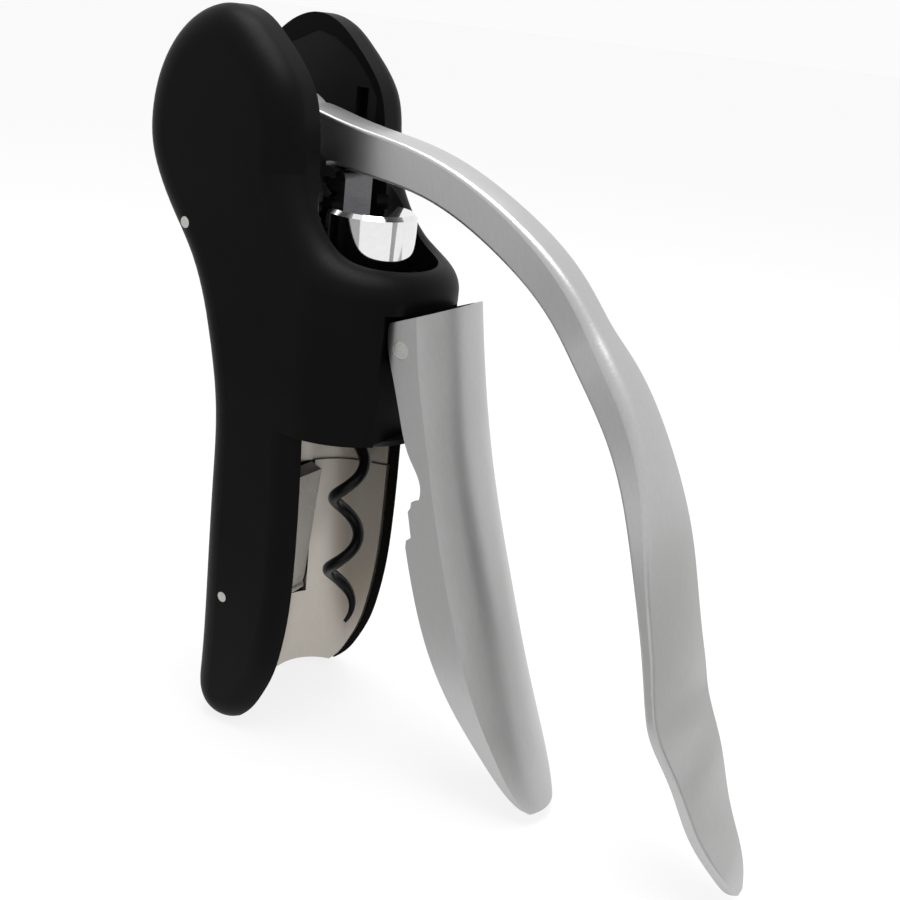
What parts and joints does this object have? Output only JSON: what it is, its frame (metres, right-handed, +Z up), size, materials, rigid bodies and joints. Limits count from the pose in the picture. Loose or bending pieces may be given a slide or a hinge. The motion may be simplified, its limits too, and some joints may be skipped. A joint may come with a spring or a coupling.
{
  "type": "vertical lever corkscrew",
  "caption": "Vertical lever corkscrew: a black body grips the bottle neck, a geared steel lever drives a self-pulling worm on a rack, and a crowned handle clamps the neck.",
  "frame": {"origin": "centre of the ring that the bottle's lip rests against, on the axis of the bottle neck", "axes": "+Z up along the bottle axis from the neck into the bore, -Y towards the lever and the clamp handle, X across the body from cheek to cheek"},
  "size_m": [0.0398, 0.1376, 0.1458],
  "materials": {
    "black_coat": "matte soft-touch black coat",
    "brushed": "fine brushed grey",
    "bright": "polished",
    "liner_steel": "plain satin sheet",
    "zinc": "dull cast zinc",
    "tool_steel": "dull machined steel",
    "coated_worm": "smooth non-stick black coat",
    "blackened": "blackened steel sheet",
    "bronze": "sintered bronze",
    "plastic": "black moulded plastic",
    "pad": "black rubber",
    "spring_wire": "bright spring wire"
  },
  "bodies": {
    "body": {"body_shell": "black_coat", "neck_liner": "liner_steel", "collar_sleeve": "liner_steel", "neck_plate_pin": "bright", "frame_plate_right": "blackened", "frame_plate_left": "blackened", "upper_rivets": "bright", "lower_rivets": "bright", "lip_stop": "plastic", "stop_screws": "tool_steel", "worm_nut": "bronze", "lever_axle": "tool_steel", "hub_spacers": "zinc", "handle_spring": "spring_wire"},
    "lever": {"lever_arm": "brushed", "gear_plates": "tool_steel", "gear_rivets": "tool_steel"},
    "carriage": {"crosshead": "zinc", "crosshead_screws": "tool_steel", "bearing_housing": "bright", "carriage_rack": "tool_steel", "rack_screw": "tool_steel", "housing_bush": "bronze", "thrust_washer": "bronze"},
    "worm_body": {"worm": "coated_worm", "shank_clip": "spring_wire"},
    "handle": {"clamp_handle": "brushed", "grip_pad": "pad", "handle_pin": "bright"},
    "neck_plate_body": {"neck_plate": "brushed"}
  },
  "joints": [
    {"name": "lever_pivot", "type": "hinge", "parent": "body", "child": "lever", "pos_m": [0, 0.022, 0.0505], "axis": [-1, 0, 0], "range_deg": [-8, 177]},
    {"name": "carriage_slide", "type": "slide", "parent": "body", "child": "carriage", "axis": [0, 0, 1], "range_m": [-0.00219, 0.04644]},
    {"name": "worm_spin", "type": "hinge", "parent": "carriage", "child": "worm_body", "pos_m": [0, 0, 0.012], "axis": [0, 0, 1], "range_deg": [-46.42, 1005.93]},
    {"name": "handle_pivot", "type": "hinge", "parent": "body", "child": "handle", "pos_m": [0, -0.0165, 0.0204], "axis": [1, 0, 0], "range_deg": [-2, 18]},
    {"name": "neck_plate_pivot", "type": "hinge", "parent": "body", "child": "neck_plate_body", "pos_m": [0, 0.0192, -0.0484], "axis": [-1, 0, 0], "range_deg": [0, 1.2], "stiffness_Nm_per_rad": 0.05, "springref_deg": -2.86}
  ],
  "couplings": [
    {"joint": "carriage_slide", "follows": "lever_pivot", "m_per_rad": 0.015},
    {"joint": "worm_spin", "follows": "lever_pivot", "ratio": 5.6776}
  ]
}
